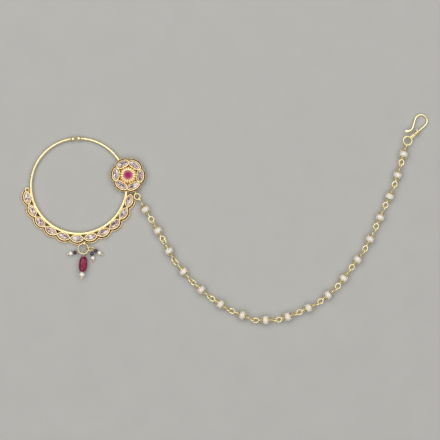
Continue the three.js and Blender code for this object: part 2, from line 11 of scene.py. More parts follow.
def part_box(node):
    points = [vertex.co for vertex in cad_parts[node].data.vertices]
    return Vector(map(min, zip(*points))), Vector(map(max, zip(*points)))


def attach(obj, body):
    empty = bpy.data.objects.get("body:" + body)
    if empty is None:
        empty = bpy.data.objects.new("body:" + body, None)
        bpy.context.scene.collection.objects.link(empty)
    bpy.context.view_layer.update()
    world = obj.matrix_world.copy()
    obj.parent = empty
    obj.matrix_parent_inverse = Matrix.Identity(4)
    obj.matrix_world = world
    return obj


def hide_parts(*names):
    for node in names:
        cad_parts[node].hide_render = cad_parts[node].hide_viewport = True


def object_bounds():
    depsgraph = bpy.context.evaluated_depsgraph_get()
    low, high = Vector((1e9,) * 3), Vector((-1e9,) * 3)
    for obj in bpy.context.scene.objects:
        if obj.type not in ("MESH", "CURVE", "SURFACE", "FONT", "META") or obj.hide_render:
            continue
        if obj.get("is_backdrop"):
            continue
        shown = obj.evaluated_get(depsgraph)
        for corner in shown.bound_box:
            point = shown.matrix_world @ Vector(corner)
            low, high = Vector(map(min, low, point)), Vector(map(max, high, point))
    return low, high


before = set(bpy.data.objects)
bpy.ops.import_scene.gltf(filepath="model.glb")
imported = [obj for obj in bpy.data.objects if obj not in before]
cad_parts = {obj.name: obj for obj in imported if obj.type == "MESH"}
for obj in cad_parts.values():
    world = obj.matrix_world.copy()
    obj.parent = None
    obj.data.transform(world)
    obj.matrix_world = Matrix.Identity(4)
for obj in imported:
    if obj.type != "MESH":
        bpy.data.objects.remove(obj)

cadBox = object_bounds()
mm = 0.001
print("nath: frame loaded")


# Shapes are (points, faces) in millimetres until a piece is made of them

def polar(radius, degrees, height=0.0):
    angle = math.radians(degrees)
    return Vector((radius * math.cos(angle), radius * math.sin(angle), height))


def mix(a, b, share):
    return a + (b - a) * share


def joinShapes(shapes):
    points, faces = [], []
    for shapePoints, shapeFaces in shapes:
        start = len(points)
        points.extend(shapePoints)
        faces.extend([start + k for k in face] for face in shapeFaces)
    return points, faces


def moveShape(shape, matrix):
    points, faces = shape
    return [matrix @ p for p in points], faces


def loftShape(rings, closeEnds=False, loop=False):
    count = len(rings[0])
    points = [Vector(p) for ring in rings for p in ring]
    faces = []
    for r in range(len(rings) if loop else len(rings) - 1):
        a, b = r * count, (r + 1) % len(rings) * count
        for k in range(count):
            n = (k + 1) % count
            faces.append([a + k, a + n, b + n, b + k])
    if closeEnds:
        faces.append(list(range(count))[::-1])
        faces.append(list(range(len(points) - count, len(points))))
    return points, faces


upward = Vector((0, 0, 1))


def wireShape(path, thickness, up=upward, sides=12, loop=False):
    # thickness is a radius, or one (across, through) pair of radii for each point
    count = len(path)
    turns = [2 * math.pi * k / sides for k in range(sides)]
    rings = []
    for i, point in enumerate(path):
        before = path[i - 1] if loop or i > 0 else point
        after = path[(i + 1) % count] if loop or i < count - 1 else point
        tangent = (after - before).normalized()
        side = tangent.cross(up).normalized()
        lift = side.cross(tangent)
        across, through = thickness[i] if isinstance(thickness, list) else (thickness, thickness)
        rings.append([point + side * across * math.cos(t) + lift * through * math.sin(t) for t in turns])
    return loftShape(rings, not loop, loop)


def ringShape(centre, normal, radius, wire, start=None, opening=0.0, pull=0.0, sides=12):
    # pull draws the ring out into a drop towards its start
    across = (start or normal.orthogonal()).normalized()
    other = normal.normalized().cross(across)
    steps = 44
    path = []
    for k in range(steps if opening == 0 else steps + 1):
        a = math.radians(opening / 2 + (360 - opening) * k / steps)
        drawn = 1 + pull * (0.5 + 0.5 * math.cos(a)) ** 3
        path.append(centre + across * radius * drawn * math.cos(a) + other * radius * math.sin(a))
    return wireShape(path, wire, normal, sides, opening == 0)


def roundFrame(axis):
    # two directions square to an axis and to each other
    across = axis.orthogonal().normalized()
    return across, axis.cross(across)


def spoke(across, other, turn):
    return across * math.cos(turn) + other * math.sin(turn)


def latheShape(profile, origin, axis=upward, sides=28, swell=None, bored=False):
    # profile is (along, radius) pairs; swell changes a radius by its angle round the axis
    axis = axis.normalized()
    across, other = roundFrame(axis)
    rings = []
    for along, radius in profile:
        ring = []
        for k in range(sides):
            turn = 2 * math.pi * k / sides
            r = radius * (swell(turn, along) if swell else 1)
            ring.append(origin + axis * along + spoke(across, other, turn) * r)
        rings.append(ring)
    return loftShape(rings, not bored, bored)


def ballProfile(radius, halfLength, steps=16, bore=0.02, squareness=1.0):
    # squareness above 1 fills out the shoulders
    mouth = math.asin((bore / radius) ** squareness)
    profile = []
    for i in range(steps + 1):
        angle = mouth + (math.pi - 2 * mouth) * i / steps
        profile.append((-halfLength * math.cos(angle), radius * math.sin(angle) ** (1 / squareness)))
    return profile


def ballShape(radius, halfLength, centre, axis=upward, steps=8, sides=12):
    return latheShape(ballProfile(radius, halfLength, steps), centre, axis, sides)


def plateShape(outlines, bottom, top):
    # the first outline is the plate's edge, and the others are its openings
    loops = [[Vector((p.x, p.y, 0)) for p in outline] for outline in outlines]
    flat = [p for loop in loops for p in loop]
    count = len(flat)
    triangles = [list(t) for t in tessellate_polygon(loops)]
    points = [p + Vector((0, 0, bottom)) for p in flat] + [p + Vector((0, 0, top)) for p in flat]
    faces = triangles + [[count + k for k in t] for t in triangles]
    start = 0
    for loop in loops:
        for k in range(len(loop)):
            a, b = start + k, start + (k + 1) % len(loop)
            faces.append([a, b, count + b, count + a])
        start += len(loop)
    return points, faces


def bandShape(lines, loop=True):
    # a surface between lines that have the same number of points
    count = len(lines[0])
    points = [Vector(p) for line in lines for p in line]
    faces = []
    for r in range(len(lines) if loop else len(lines) - 1):
        a, b = r * count, (r + 1) % len(lines) * count
        faces.extend([a + k, a + k + 1, b + k + 1, b + k] for k in range(count - 1))
    return points, faces


def cutShape(rings):
    # facets: each ring is turned half a step from the one below, and the flat table is a fan
    count = len(rings[0])
    points = [Vector(p) for ring in rings for p in ring]
    faces = [list(range(count))[::-1]]
    for r in range(len(rings) - 1):
        a, b = r * count, (r + 1) * count
        for k in range(count):
            n = (k + 1) % count
            faces.append([a + k, a + n, b + k])
            faces.append([a + n, b + n, b + k])
    table = len(points) - count
    points.append(sum(points[table:], Vector()) / count)
    faces.extend([table + k, table + (k + 1) % count, table + count] for k in range(count))
    return points, faces


# What the frame says of a node

def nodePoints(name):
    return [v.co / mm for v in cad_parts[name].data.vertices]


def middleOf(name):
    low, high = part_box(name)
    return (Vector(low) + Vector(high)) / 2 / mm


def mainAxes(points):
    # the middle of a cloud of points and its three axes, the longest first
    cloud = np.array(points)
    centre = cloud.mean(axis=0)
    axes = np.linalg.eigh(np.cov((cloud - centre).T))[1]
    return Vector(centre), [Vector(axes[:, k]) for k in (2, 1, 0)]


def endEye(points, centre, outward, size):
    # centre and normal of the eye at the far end of a node, in the direction outward
    reach = max((p - centre).dot(outward) for p in points)
    eyeSpan = 2 * (size["radius"] + size["wire"])
    eyeStart = reach - eyeSpan * 0.9  # leaves out the shaft that the eye is bent from
    normal = mainAxes([p for p in points if (p - centre).dot(outward) > eyeStart])[1][2]
    return centre + outward * (reach - eyeSpan / 2), normal


# Finishes

def startFinish(name, values):
    finish = bpy.data.materials.new(name)
    finish.use_nodes = True
    shader = finish.node_tree.nodes["Principled BSDF"]
    for socket, value in values.items():
        shader.inputs[socket].default_value = value
    return finish, shader


def addNode(finish, kind, sockets=None, **settings):
    node = finish.node_tree.nodes.new(kind)
    for key, value in settings.items():
        setattr(node, key, value)
    for key, value in (sockets or {}).items():
        node.inputs[key].default_value = value
    return node


def joinNodes(finish, source, target):
    finish.node_tree.links.new(source, target)


def noiseOf(finish, size, detail=3.0):
    # cloudy noise whose patches are about size millimetres wide
    place = addNode(finish, "ShaderNodeTexCoord")
    noise = addNode(finish, "ShaderNodeTexNoise",
                    {"Scale": 1 / (size * mm), "Detail": detail, "Roughness": 0.55})
    joinNodes(finish, place.outputs["Object"], noise.inputs["Vector"])
    return noise.outputs["Fac"]


def rampOf(finish, source, stops):
    ramp = addNode(finish, "ShaderNodeValToRGB")
    elements = ramp.color_ramp.elements
    while len(elements) < len(stops):
        elements.new(0.5)
    for element, (at, colour) in zip(elements, stops):
        element.position = at
        element.color = (*colour, 1)
    joinNodes(finish, source, ramp.inputs["Fac"])
    return ramp.outputs["Color"]


def cloudOf(finish, size, low, high, highFrom=0.7):
    # two colours that run into each other in cloudy patches
    return rampOf(finish, noiseOf(finish, size), [(0.3, low), (highFrom, high)])


def rangeOf(finish, source, low, high, fromLow=0.3, fromHigh=0.7):
    spread = addNode(finish, "ShaderNodeMapRange",
                     {"From Min": fromLow, "From Max": fromHigh, "To Min": low, "To Max": high})
    joinNodes(finish, source, spread.inputs["Value"])
    return spread.outputs["Result"]


def colourAndPolish(finish, shader, colour, handling, roughness):
    # handling is the size of the patches that are rubbed more and less
    joinNodes(finish, colour, shader.inputs["Base Color"])
    polish = rangeOf(finish, noiseOf(finish, handling), *roughness)
    joinNodes(finish, polish, shader.inputs["Roughness"])


def bumpOf(finish, shader, source, depth):
    bump = addNode(finish, "ShaderNodeBump", {"Strength": 1.0, "Distance": depth * mm})
    joinNodes(finish, source, bump.inputs["Height"])
    joinNodes(finish, bump.outputs["Normal"], shader.inputs["Normal"])


def goldFinish(name, look):
    # polished plate, brighter and deeper in patches, with painted reddish-brown shade where the AO node finds
    # crevices, tinted like antique tarnish
    finish, shader = startFinish(name, {"Metallic": 1.0})
    patches = cloudOf(finish, look["patch"], look["deep"], look["bright"], 0.62)
    # the AO node masks the painted shade that darkens the hollows
    paintedCreviceShade = addNode(finish, "ShaderNodeAmbientOcclusion",
                      {"Distance": look["creviceReach"] * mm}, samples=8)
    paintedShadeMask = rangeOf(finish, paintedCreviceShade.outputs["AO"], 0, 1, *look["creviceShade"])
    colourWithPaintedShade = addNode(finish, "ShaderNodeMix", {"A": (*look["paintedCreviceShade"], 1)}, data_type="RGBA")
    joinNodes(finish, paintedShadeMask, colourWithPaintedShade.inputs["Factor"])
    joinNodes(finish, patches, colourWithPaintedShade.inputs["B"])
    colourAndPolish(finish, shader, colourWithPaintedShade.outputs["Result"], look["handling"], look["roughness"])
    bumpOf(finish, shader, noiseOf(finish, look["dimple"], 2.0), look["dimpleDepth"])
    return finish


def grooveFinish():
    # dark red lacquer that fills the ground between the bezels and the edge
    look = {"dark": (0.02, 0.004, 0.004), "red": (0.12, 0.014, 0.01), "patch": 0.7,
            "handling": 0.3, "roughness": (0.3, 0.6), "grit": 0.2, "gritDepth": 0.02}
    finish, shader = startFinish("grooveLacquer", {"Specular IOR Level": 0.25})
    colour = cloudOf(finish, look["patch"], look["dark"], look["red"])
    colourAndPolish(finish, shader, colour, look["handling"], look["roughness"])
    bumpOf(finish, shader, noiseOf(finish, look["grit"]), look["gritDepth"])
    return finish


def foilStoneFinish(name, tones):
    # clear stone over crumpled foil: each fleck of foil throws back a tone of its own
    look = {"metallic": 0.3, "fleck": 0.7, "crumple": 0.05, "roughness": (0.05, 0.3)}
    finish, shader = startFinish(name, {
        "Metallic": look["metallic"], "Coat Weight": 1.0, "Coat Roughness": 0.03, "IOR": 1.6})
    place = addNode(finish, "ShaderNodeTexCoord")
    fleck = addNode(finish, "ShaderNodeTexVoronoi", {"Scale": 1 / (look["fleck"] * mm)}, feature="F1")
    joinNodes(finish, place.outputs["Object"], fleck.inputs["Vector"])
    part = addNode(finish, "ShaderNodeSeparateColor")
    joinNodes(finish, fleck.outputs["Color"], part.inputs["Color"])
    joinNodes(finish, rampOf(finish, part.outputs["Red"], tones), shader.inputs["Base Color"])
    polish = rangeOf(finish, part.outputs["Green"], *look["roughness"], 0, 1)
    joinNodes(finish, polish, shader.inputs["Roughness"])
    bumpOf(finish, shader, fleck.outputs["Distance"], look["crumple"])
    return finish


def jewelFinish(name, look):
    # a deep stone that lets some light in, with clouds of a second tone
    finish, shader = startFinish(name, {
        "Coat Weight": look["coat"], "Coat Roughness": 0.02, "IOR": look["ior"],
        "Transmission Weight": look["clear"],
        "Subsurface Weight": look["glow"], "Subsurface Scale": look["glowReach"] * mm,
        "Subsurface Radius": look["glowColour"]})
    colour = cloudOf(finish, look["cloud"], look["deep"], look["light"])
    colourAndPolish(finish, shader, colour, look["handling"], look["roughness"])
    bumpOf(finish, shader, noiseOf(finish, look["ripple"], 2.0), look["rippleDepth"])
    return finish


def paintedShadeWallFinish():
    # near-black painted shade on the walls of the pierced corners, so the openings read dark
    look = {"dark": (0.006, 0.004, 0.002), "brown": (0.03, 0.018, 0.008), "patch": 0.5}
    finish, shader = startFinish("pierceWallPaintedShade", {"Roughness": 0.7, "Specular IOR Level": 0.1})
    colour = cloudOf(finish, look["patch"], look["dark"], look["brown"])
    joinNodes(finish, colour, shader.inputs["Base Color"])
    return finish


# each look's crevice colour, reach and shade range give the painted reddish-brown shade that darkens its hollows
goldLooks = {
    "polishedGold": {
        "bright": (1.0, 0.72, 0.33), "deep": (0.9, 0.54, 0.2), "patch": 1.6,
        "paintedCreviceShade": (0.11, 0.03, 0.015), "creviceReach": 1.0, "creviceShade": (0.25, 0.75),
        "handling": 0.5, "roughness": (0.12, 0.27), "dimple": 0.35, "dimpleDepth": 0.012},
    "bezelGold": {
        "bright": (1.0, 0.86, 0.5), "deep": (1.0, 0.74, 0.36), "patch": 1.0,
        "paintedCreviceShade": (0.2, 0.06, 0.02), "creviceReach": 0.5, "creviceShade": (0.1, 0.5),
        "handling": 0.4, "roughness": (0.2, 0.34), "dimple": 0.3, "dimpleDepth": 0.01},
    "satinGold": {
        "bright": (1.0, 0.8, 0.48), "deep": (0.95, 0.66, 0.34), "patch": 0.9,
        "paintedCreviceShade": (0.2, 0.07, 0.03), "creviceReach": 0.35, "creviceShade": (0.2, 0.75),
        "handling": 0.4, "roughness": (0.16, 0.28), "dimple": 0.3, "dimpleDepth": 0.008},
    "goldWire": {
        "bright": (0.97, 0.87, 0.54), "deep": (0.91, 0.76, 0.39), "patch": 1.2,
        "paintedCreviceShade": (0.16, 0.07, 0.02), "creviceReach": 0.5, "creviceShade": (0.1, 0.5),
        "handling": 0.4, "roughness": (0.1, 0.24), "dimple": 0.3, "dimpleDepth": 0.008},
}
gold, bezelGold, satinGold, goldWire = (goldFinish(name, look) for name, look in goldLooks.items())
groove = grooveFinish()
paintedShadeWall = paintedShadeWallFinish()

foilTones = {
    "foilDark": [(0.0, (0.03, 0.02, 0.03)), (0.5, (0.12, 0.075, 0.1)), (0.9, (0.32, 0.22, 0.28))],
    "foilMauve": [(0.0, (0.16, 0.09, 0.14)), (0.5, (0.42, 0.31, 0.38)), (0.9, (0.66, 0.56, 0.6))],
    "foilBlush": [(0.0, (0.4, 0.28, 0.26)), (0.5, (0.68, 0.55, 0.5)), (0.9, (0.9, 0.8, 0.72))],
    "foilPaintedGoldReflection": [(0.0, (0.5, 0.34, 0.24)), (0.5, (0.86, 0.66, 0.48)), (0.9, (1.0, 0.88, 0.68))],
    "foilWhite": [(0.0, (0.6, 0.55, 0.56)), (0.5, (0.9, 0.87, 0.86)), (0.9, (1.0, 0.99, 0.97))],
}
foils = [foilStoneFinish(name, tones) for name, tones in foilTones.items()]
middleShares = [0.29, 0.37, 0.13, 0.02, 0.19]  # how often each foil is drawn in a stone's middle
# the rim shares lean to blush and gold as a painted reflection of the bezel
rimSharesPaintedReflection = [0.04, 0.14, 0.32, 0.36, 0.14]

plainJewel = {
    "clear": 0.0, "ior": 1.6, "coat": 1.0, "handling": 0.4,
    "glow": 0.0, "glowReach": 0.5, "glowColour": (1.0, 0.3, 0.4),
}
jewelLooks = {
    "ruby": {
        "deep": (0.1, 0.001, 0.02), "light": (0.36, 0.006, 0.075), "cloud": 1.2, "clear": 0.1, "ior": 1.45,
        "coat": 0.1, "roughness": (0.05, 0.14), "ripple": 0.8, "rippleDepth": 0.01},
    # painted shade: a darker copy of the ruby for the flower ruby's table
    "rubyTablePaintedShade": {
        "deep": (0.24, 0.008, 0.08), "light": (0.5, 0.02, 0.2), "cloud": 0.9,
        "coat": 0.6, "roughness": (0.1, 0.2), "ripple": 0.8, "rippleDepth": 0.01},
    # painted light: a paler copy of the ruby for the flower ruby's crown facets
    "rubyCrownPaintedLight": {
        "deep": (0.42, 0.03, 0.12), "light": (0.8, 0.2, 0.34), "cloud": 0.6,
        "roughness": (0.05, 0.14), "ripple": 0.5, "rippleDepth": 0.01},
    "garnet": {
        "deep": (0.007, 0.001, 0.005), "light": (0.035, 0.004, 0.022), "cloud": 0.7,
        "roughness": (0.04, 0.1), "ripple": 0.5, "rippleDepth": 0.006},
    "pearl": {
        "deep": (0.8, 0.72, 0.68), "light": (0.95, 0.92, 0.88), "cloud": 0.6, "ior": 1.55,
        "glow": 0.3, "glowReach": 0.4, "glowColour": (1.0, 0.8, 0.7),
        "roughness": (0.15, 0.28), "ripple": 0.5, "rippleDepth": 0.01},
    "milkyCrystal": {
        "deep": (0.86, 0.76, 0.64), "light": (1.0, 0.97, 0.91), "cloud": 0.9, "clear": 0.2, "ior": 1.5,
        "glow": 0.35, "glowReach": 1.2, "glowColour": (1.0, 0.82, 0.66),
        "roughness": (0.08, 0.2), "ripple": 0.9, "rippleDepth": 0.012},
}
ruby, rubyTablePaintedShade, rubyCrownPaintedLight, garnet, pearl, crystal = (
    jewelFinish(name, {**plainJewel, **look}) for name, look in jewelLooks.items())
print("nath: finishes mixed")


def makePiece(name, shape, finish, nodes, smooth=38, soften=0.0, tones=None):
    # finish may be a list, and tones then gives the place in it for each face
    points, faces = shape
    mesh = bpy.data.meshes.new(name)
    mesh.from_pydata([p * mm for p in points], [], faces)
    work = bmesh.new()
    work.from_mesh(mesh)
    bmesh.ops.recalc_face_normals(work, faces=work.faces)
    work.to_mesh(mesh)
    work.free()
    mesh.shade_smooth()
    mesh.set_sharp_from_angle(angle=math.radians(smooth))
    for each in finish if isinstance(finish, list) else [finish]:
        mesh.materials.append(each)
    if tones:
        mesh.polygons.foreach_set("material_index", tones)
    piece = bpy.data.objects.new(name, mesh)
    bpy.context.scene.collection.objects.link(piece)
    if soften:
        bevel = piece.modifiers.new("softEdge", "BEVEL")
        bevel.width = soften * mm
        bevel.segments = 2
        bevel.limit_method = "ANGLE"
        bevel.angle_limit = math.radians(smooth)
    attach(piece, "root")
    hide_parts(*nodes)
    return piece


# Hoop

hoop = {
    "innerRadius": 20.8, "seatWire": 0.75, "tipWire": 0.55, "height": 1.1,
    "tipBall": 1.1, "tipGap": 0.4, "tipAngle": 93.5, "dimpleAt": 0.94,
    "collar": 0.85, "collarBore": 0.5, "collarLength": 0.7, "collarAt": 1.25,
}
tipDimple = [(-0.86, 0.02), (-0.9, 0.16), (-0.95, 0.28)]  # shares of the ball's radius, radii
collarShares = [(-1, 0.9), (-0.7, 1), (-0.2, 1), (0, 0.86), (0.2, 1), (0.7, 1), (1, 0.88)]
flowerSite = {"angle": 12.3, "outward": 1.25}
seatRing = hoop["innerRadius"] + hoop["seatWire"]
flowerFromHoop = polar(seatRing + flowerSite["outward"], flowerSite["angle"])
hoopCentre = middleOf("flower_ruby") - flowerFromHoop
hoopCentre.z = 0.0
toHoop = Matrix.Translation(hoopCentre)

crescent = {
    "count": 11, "start": 185.5, "end": 351.0, "width": 3.6, "lap": 0.4, "tipLap": 0.16,
    "plate": 0.9, "wall": 0.3, "height": 1.35, "bezelOut": 0.08,
    "pierceWidth": 1.8, "pierceDepth": 1.25, "pierceLap": 0.2,
    "groove": 0.6, "grain": 0.23, "grainsEach": 11,
}
lacquer = 0.015  # how far the lacquer stands over its plate


def hoopThickness(angle):
    past = max(crescent["start"] - angle, angle - crescent["end"], 0)
    bare = (360 - crescent["end"] + crescent["start"]) / 2
    return mix(hoop["seatWire"], hoop["tipWire"], min(past / bare, 1))


def tipProfile():
    # a ball with a small dimple in its end
    ball = hoop["tipBall"]
    dimple = [(ball * along, radius) for along, radius in tipDimple]
    return dimple + [p for p in ballProfile(ball, ball, 22) if p[0] > -ball * hoop["dimpleAt"]]


def collarProfile():
    half, lip, bore = hoop["collarLength"] / 2, hoop["collar"], hoop["collarBore"]
    return [(-half, bore)] + [(half * along, lip * share) for along, share in collarShares] + [(half, bore)]


def makeHoop():
    ballTurn = math.degrees((hoop["tipBall"] + hoop["tipGap"] / 2) / hoop["innerRadius"])
    first, last = hoop["tipAngle"] + ballTurn, hoop["tipAngle"] + 360 - ballTurn
    steps = 260
    path, radii = [], []
    for i in range(steps + 1):
        angle = mix(first, last, i / steps)
        radius = hoopThickness(angle)
        path.append(polar(hoop["innerRadius"] + radius, angle, hoop["height"]))
        radii.append((radius, radius))
    shapes = [wireShape(path, radii, upward, 20)]
    tipRing = hoop["innerRadius"] + hoop["tipWire"]
    for angle, inward in ((first, 1), (last, -1)):
        centre = polar(tipRing, angle, hoop["height"])
        shapes.append(latheShape(tipProfile(), centre, polar(1, angle + 90) * inward, 32))
        collarAngle = angle + math.degrees(hoop["collarAt"] * hoop["tipBall"] / tipRing) * inward
        seat = polar(tipRing, collarAngle, hoop["height"])
        shapes.append(latheShape(collarProfile(), seat, polar(1, collarAngle + 90), 32))
    return moveShape(joinShapes(shapes), toHoop)


makePiece("hoopWire", makeHoop(), goldWire, ["nose_hoop"], smooth=50)
print("nath: hoop bent")


# Crescent

pitch = (crescent["end"] - crescent["start"]) / crescent["count"]
crescentRing = hoop["innerRadius"] + 2 * hoop["seatWire"] + crescent["width"] / 2 - crescent["lap"]
navetteLength = 2 * crescentRing * math.tan(math.radians(pitch / 2)) + crescent["tipLap"]
arcRadius = (navetteLength ** 2 + crescent["width"] ** 2) / (4 * crescent["width"])
arcDrop = arcRadius - crescent["width"] / 2
bezelTop = crescent["plate"] + crescent["height"]


def navetteLoop(offset, height, steps=16, shift=0.0):
    # two arcs that meet in points, grown outwards by the offset
    radius = arcRadius + offset
    half = math.degrees(math.acos(arcDrop / radius))
    upper = []
    for i in range(steps):
        p = polar(radius, 90 - half + 2 * half * (i + shift) / steps, height)
        upper.append(Vector((p.x, p.y - arcDrop, height)))
    return upper + [Vector((-p.x, -p.y, height)) for p in upper]


def navettePlace(index):
    angle = crescent["start"] + pitch * (index + 0.5)
    turned = Matrix.Rotation(math.radians(angle - 90), 4, "Z")
    return toHoop @ Matrix.Translation(polar(crescentRing, angle)) @ turned


def valleyRadius(offset):
    # how far out two neighbouring scallops meet
    centre = crescentRing - arcDrop
    across = centre * math.sin(math.radians(pitch / 2))
    return centre * math.cos(math.radians(pitch / 2)) + math.sqrt((arcRadius + offset) ** 2 - across ** 2)


def scallops(offset, height, steps=14):
    # the crescent's outer side, one arc for each stone
    centre = crescentRing - arcDrop
    low = polar(valleyRadius(offset), pitch / 2)
    half = math.degrees(math.atan2(low.y, low.x - centre))
    line = []
    for i in range(crescent["count"]):
        middle = crescent["start"] + pitch * (i + 0.5)
        for k in range(0 if i == 0 else 1, steps + 1):
            p = polar(arcRadius + offset, middle - half + 2 * half * k / steps) + polar(centre, middle)
            line.append(Vector((p.x, p.y, height)))
    return line


def walkLine(line, count):
    # points at even distances along a line
    lengths = [0.0]
    for a, b in zip(line, line[1:]):
        lengths.append(lengths[-1] + (b - a).length)
    stops = np.linspace(0, lengths[-1], count)
    return [Vector([np.interp(s, lengths, [p[k] for p in line]) for k in range(3)]) for s in stops]


def makeCrescentPlate():
    steps = 66
    inner = [polar(seatRing, mix(crescent["end"], crescent["start"], i / steps)) for i in range(steps + 1)]
    outlines = [scallops(crescent["groove"] + crescent["grain"], 0) + inner]
    base = hoop["innerRadius"] + 2 * hoop["seatWire"]
    near, far = base - crescent["pierceLap"], base + crescent["pierceDepth"]
    half = math.degrees(crescent["pierceWidth"] / 2 / base)
    for i in range(1, crescent["count"]):
        angle = crescent["start"] + pitch * i
        outlines.append([polar(near, angle - half), polar(far, angle), polar(near, angle + half)])
    shape = moveShape(plateShape(outlines, 0, crescent["plate"]), toHoop)
    walls = 3 * (crescent["count"] - 1)  # the last faces are the walls of the pierced corners
    return shape, [0] * (len(shape[1]) - walls) + [1] * walls


def makeBezels():
    # each wall leans in a little and is burnished over its stone
    out, foot = crescent["bezelOut"], crescent["plate"] - 0.1
    section = [(out + 0.1, foot), (out + 0.04, bezelTop - 0.5), (out - 0.02, bezelTop - 0.16),
               (out - 0.1, bezelTop - 0.03), (-0.14, bezelTop), (-0.3, bezelTop - 0.03),
               (-0.4, bezelTop - 0.14), (-0.38, bezelTop - 0.3), (-0.34, foot)]
    wall = loftShape([navetteLoop(offset, height) for offset, height in section], False, True)
    return joinShapes([moveShape(wall, navettePlace(i)) for i in range(crescent["count"])])


def makeGrainEdge():
    rail = crescent["groove"] + crescent["grain"]
    top = crescent["plate"]
    section = [(crescent["groove"], top - 0.3), (crescent["groove"], top + 0.1), (rail, top + 0.14),
               (rail + 0.16, top - 0.05), (rail + 0.16, top - 0.3)]
    shapes = [bandShape([scallops(offset, height) for offset, height in section])]
    grains = walkLine(scallops(rail, top + 0.12), crescent["count"] * crescent["grainsEach"] + 1)
    rng = random.Random(7)
    for p in grains:
        size = crescent["grain"] * rng.uniform(0.94, 1.06)
        shapes.append(ballShape(size, size * 0.95, p, upward, 9, 14))
    return moveShape(joinShapes(shapes), toHoop)


def makeGroove():
    height = crescent["plate"] + lacquer
    lines = [scallops(offset, height) for offset in (-crescent["wall"], crescent["groove"] + 0.05)]
    return moveShape(bandShape(lines, False), toHoop)


curl = {
    "radius": 0.95, "wire": 0.4, "wireTop": 0.34, "inset": 0.4,
    "from": -80.0, "turn": 470.0, "closing": 0.18, "rise": 0.35,
}


def makeCurl():
    # the wire that is curled up where the crescent starts
    angle = crescent["start"] - math.degrees(curl["radius"] / 2 / crescentRing)
    centre = polar(crescentRing - curl["inset"], angle, curl["wire"])
    steps = 60
    path = []
    for i in range(steps + 1):
        share = i / steps
        radius = curl["radius"] * (1 - curl["closing"] * share)
        out = polar(radius, angle + curl["from"] + curl["turn"] * share, curl["rise"] * share)
        path.append(centre + out)
    return moveShape(wireShape(path, curl["wireTop"]), toHoop)


bail = {
    "junction": 6, "edge": 0.65, "radius": 1.05, "wire": 0.3, "height": 1.6, "lap": 0.35,
    "ball": 0.85, "ballFlat": 0.92, "ballOut": 0.15, "grains": 9, "grain": 0.22, "grainDrop": 0.38,
}


def makeBail():
    angle = crescent["start"] + pitch * bail["junction"]
    reach = valleyRadius(bail["edge"]) + bail["radius"] + bail["wire"] - bail["lap"]
    centre = polar(reach, angle, bail["height"])
    crown = centre + polar(bail["ballOut"], angle, bail["radius"] + bail["wire"] / 2)
    shapes = [ringShape(centre, polar(1, angle + 90), bail["radius"], bail["wire"], sides=14),
              ballShape(bail["ball"], bail["ball"] * bail["ballFlat"], crown, upward, 16, 24)]
    rng = random.Random(3)
    for k in range(bail["grains"]):
        turn = 360 * k / bail["grains"] + rng.uniform(-6, 6)
        p = crown + polar(bail["ball"] * 0.95, turn, -bail["grainDrop"])
        shapes.append(ballShape(bail["grain"], bail["grain"], p))
    return moveShape(joinShapes(shapes), toHoop)


def dressHoop(name, shape, finish, smooth, soften=0.0, tones=None):
    makePiece(name, shape, finish, ["nose_hoop"], smooth, soften, tones)


crescentPlate, plateTones = makeCrescentPlate()
# the walls of the pierced corners take the near-black painted shade finish
dressHoop("crescentPlate", crescentPlate, [gold, paintedShadeWall], 30, 0.05, plateTones)
dressHoop("crescentBezels", makeBezels(), bezelGold, 45)
dressHoop("grainEdge", makeGrainEdge(), bezelGold, 60)
dressHoop("crescentGroove", makeGroove(), groove, 38)
dressHoop("crescentCurl", makeCurl(), goldWire, 60)
dressHoop("dropBail", makeBail(), bezelGold, 60)
print("nath: crescent set")


navetteStone = {
    "gap": 0.06, "seat": 0.15, "girdle": 0.55, "band": 0.2, "crown": 1.35,
    "crownIn": 0.3, "tableIn": 0.62, "steps": 7,
}


def makeFoilStone(outline, wall, base, stone):
    # cut rows as (offset, height, half step turned): foot, girdle, band, crown and table
    edge = -wall - stone["gap"]
    rows = [(edge - 0.35, 0.0, 0.0), (edge, stone["girdle"], 0.5),
            (edge - 0.05, stone["girdle"] + stone["band"], 0.0),
            (edge - stone["crownIn"], stone["crown"] - 0.2, 0.5),
            (edge - stone["tableIn"], stone["crown"], 0.0)]
    seat = base + stone["seat"]
    return cutShape([outline(offset, seat + height, stone["steps"], shift) for offset, height, shift in rows])


def foilPattern(faceCount, tableCount, seed):
    # the sloping rim is drawn mostly in blush and gold tones, a painted reflection of the gold round it; the table
    # shows the foil below
    draw = random.Random(seed)
    tones = draw.choices(range(len(foils)), rimSharesPaintedReflection, k=faceCount - tableCount)
    return tones + draw.choices(range(len(foils)), middleShares, k=tableCount)


def setFoilStone(name, node, shape, steps, seed):
    tones = foilPattern(len(shape[1]), steps, seed)
    makePiece(name, shape, foils, [node], 8, 0.0, tones)


for i in range(crescent["count"]):
    stone = makeFoilStone(navetteLoop, crescent["wall"], crescent["plate"], navetteStone)
    setFoilStone(f"navetteStone_{i + 1:02d}", f"crescent_stone_{i + 1:02d}",
                 moveShape(stone, navettePlace(i)), navetteStone["steps"], i)
print("nath: crescent stones set")


# Flower

flower = {
    "petals": 6, "turn": -4.0, "ring": 5.55, "width": 3.5, "span": 62.0, "squareness": 2.8,
    "wall": 0.4, "height": 1.5, "tierStep": 0.7, "back": 1.35, "tier": 0.8,
    "lipWidth": 0.32, "lipHeight": 0.35, "chevronWidth": 1.0, "chevronDepth": 0.95,
}
flowerCentre = hoopCentre + flowerFromHoop
flowerTop = flower["back"] + flower["tier"]
petalPitch = 360 / flower["petals"]
toFlower = Matrix.Translation(Vector((flowerCentre.x, flowerCentre.y, 0)))


